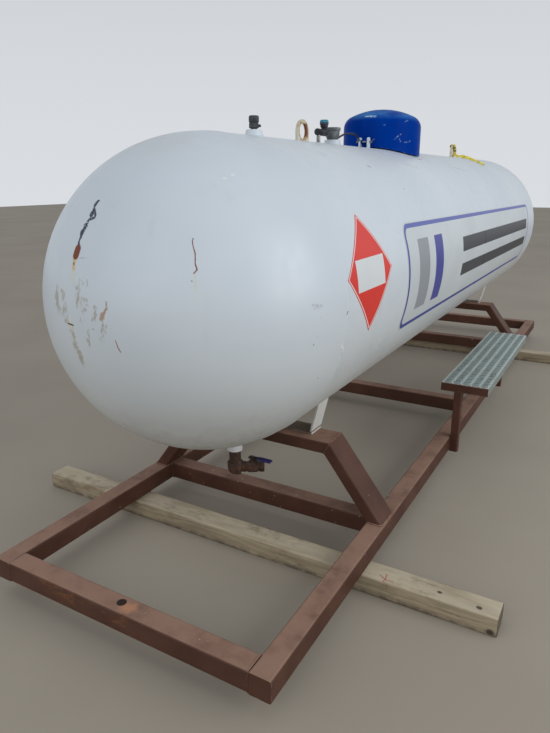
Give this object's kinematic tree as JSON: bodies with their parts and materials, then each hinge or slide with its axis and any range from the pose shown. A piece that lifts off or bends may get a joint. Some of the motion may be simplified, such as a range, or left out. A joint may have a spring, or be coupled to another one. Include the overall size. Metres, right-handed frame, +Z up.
{
  "type": "horizontal pressure tank",
  "caption": "Horizontal white gas tank with domed ends on a welded tube skid, with a hinged valve hood, a side step and timbers under the skid.",
  "frame": {"origin": "on the ground under the middle of the skid", "axes": "+X runs along the tank from its near end to its far end, +Z is up, the side step is on the -Y side"},
  "size_m": [4.849, 2.06, 1.7577],
  "materials": {
    "tank_white": "semi-gloss white enamel, weathered",
    "skid_brown": "oxide brown primer, matt",
    "galvanized_sheet": "hot-dip galvanized, dull",
    "weathered_timber": "rough sawn, weathered",
    "hood_blue": "gloss blue enamel, scuffed",
    "dark_casting": "dark grey, worn",
    "black_body": "black, dusty",
    "teal_cap": "teal blue cap",
    "bare_steel": "plain steel, dull",
    "brass": "dull brass",
    "gauge_metal": "cast aluminium",
    "rusty_steel": "rusty",
    "handle_grip": "dark blue and black dipped grip",
    "marking_tape": "yellow tape with black marks"
  },
  "bodies": {
    "tank_on_skid": {"tank_shell": "tank_white", "head_near": "tank_white", "head_far": "tank_white", "leg_plate_near": "tank_white", "leg_plate_far": "tank_white", "runner_step_side": "skid_brown", "runner_far_side": "skid_brown", "end_tube_near": "skid_brown", "end_tube_far": "skid_brown", "cross_tube_near": "skid_brown", "cross_tube_mid": "skid_brown", "cross_tube_far": "skid_brown", "trestle_top_near": "skid_brown", "trestle_leg_near_step_side": "skid_brown", "trestle_leg_near_far_side": "skid_brown", "trestle_top_far": "skid_brown", "trestle_leg_far_step_side": "skid_brown", "trestle_leg_far_far_side": "skid_brown", "step_plank": "galvanized_sheet", "step_end_near": "skid_brown", "step_end_far": "skid_brown", "step_post_near": "skid_brown", "step_post_far": "skid_brown", "timber_near": "weathered_timber", "timber_far": "weathered_timber", "lifting_lug_near": "tank_white", "lifting_lug_far": "tank_white", "relief_coupling": "tank_white", "relief_device": "dark_casting", "bowl_coupling_ring": "tank_white", "bowl_relief_valve": "dark_casting", "valve_stub": "bare_steel", "capped_valve_body": "black_body", "capped_valve_cap": "teal_cap", "vent_hose": "black_body", "marking_tape": "marking_tape", "hood_hinge_lugs": "tank_white", "hood_hinge_pin": "bare_steel", "fill_valve": "brass", "service_valve": "brass", "level_gauge": "gauge_metal", "outlet_coupling": "tank_white", "outlet_nipple": "rusty_steel", "outlet_elbow": "rusty_steel", "outlet_valve": "rusty_steel", "outlet_handle": "handle_grip"},
    "hood": {"valve_hood": "hood_blue"}
  },
  "joints": [
    {"name": "hood_hinge", "type": "hinge", "parent": "tank_on_skid", "child": "hood", "pos_m": [-0.5085, 0, 1.591], "axis": [0, -1, 0], "range_deg": [0, 80]}
  ]
}
